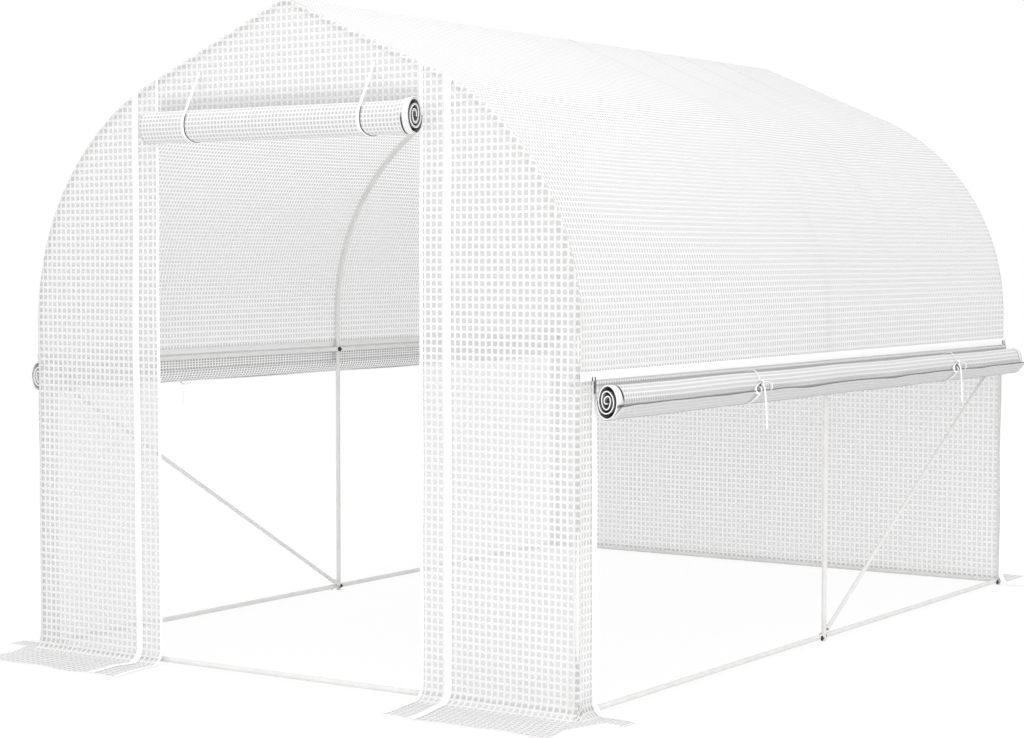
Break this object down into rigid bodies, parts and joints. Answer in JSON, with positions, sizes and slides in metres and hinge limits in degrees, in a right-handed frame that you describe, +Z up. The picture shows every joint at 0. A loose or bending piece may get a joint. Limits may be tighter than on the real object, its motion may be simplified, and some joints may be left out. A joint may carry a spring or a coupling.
{
  "type": "polytunnel greenhouse",
  "caption": "Walk-in garden polytunnel: peaked tube hoops under a reinforced sheet cover, with the side curtains and the door rolled up and tied, and flat ground skirts.",
  "frame": {"origin": "on the ground, under the middle of the tunnel", "axes": "+Z up, +Y along the tunnel from the door end to the closed end, +X to the right seen from the door"},
  "size_m": [2.378, 3.478, 1.9746],
  "materials": {
    "frame_tube": "off-white coated steel tube, satin",
    "cover_sheet": "translucent film with a white woven grid, satin",
    "white_webbing": "white woven tape"
  },
  "bodies": {
    "root": {"door_roll": "cover_sheet", "door_ties": "white_webbing", "front_base_rail": "frame_tube", "front_gable_panel": "cover_sheet", "front_left_bow": "frame_tube", "front_left_leg": "frame_tube", "front_left_panel": "cover_sheet", "front_right_bow": "frame_tube", "front_right_leg": "frame_tube", "front_right_panel": "cover_sheet", "left_base_rail_front": "frame_tube", "left_base_rail_rear": "frame_tube", "left_eave_band": "white_webbing", "left_eave_rail_front": "frame_tube", "left_eave_rail_rear": "frame_tube", "left_front_brace": "frame_tube", "left_front_corner_strip": "cover_sheet", "left_rear_corner_strip": "cover_sheet", "left_roll_flap": "cover_sheet", "left_side_roll": "cover_sheet", "left_side_ties": "white_webbing", "middle_left_bow": "frame_tube", "middle_left_leg": "frame_tube", "middle_right_bow": "frame_tube", "middle_right_leg": "frame_tube", "rear_base_rail": "frame_tube", "rear_left_bow": "frame_tube", "rear_left_leg": "frame_tube", "rear_right_bow": "frame_tube", "rear_right_leg": "frame_tube", "rear_wall_panel": "cover_sheet", "ridge_rail_front": "frame_tube", "ridge_rail_rear": "frame_tube", "right_base_rail_front": "frame_tube", "right_base_rail_rear": "frame_tube", "right_eave_band": "white_webbing", "right_eave_rail_front": "frame_tube", "right_eave_rail_rear": "frame_tube", "right_front_corner_strip": "cover_sheet", "right_rear_brace": "frame_tube", "right_rear_corner_strip": "cover_sheet", "right_roll_flap": "cover_sheet", "right_side_roll": "cover_sheet", "right_side_ties": "white_webbing", "roof_cover": "cover_sheet"}
  },
  "joints": []
}
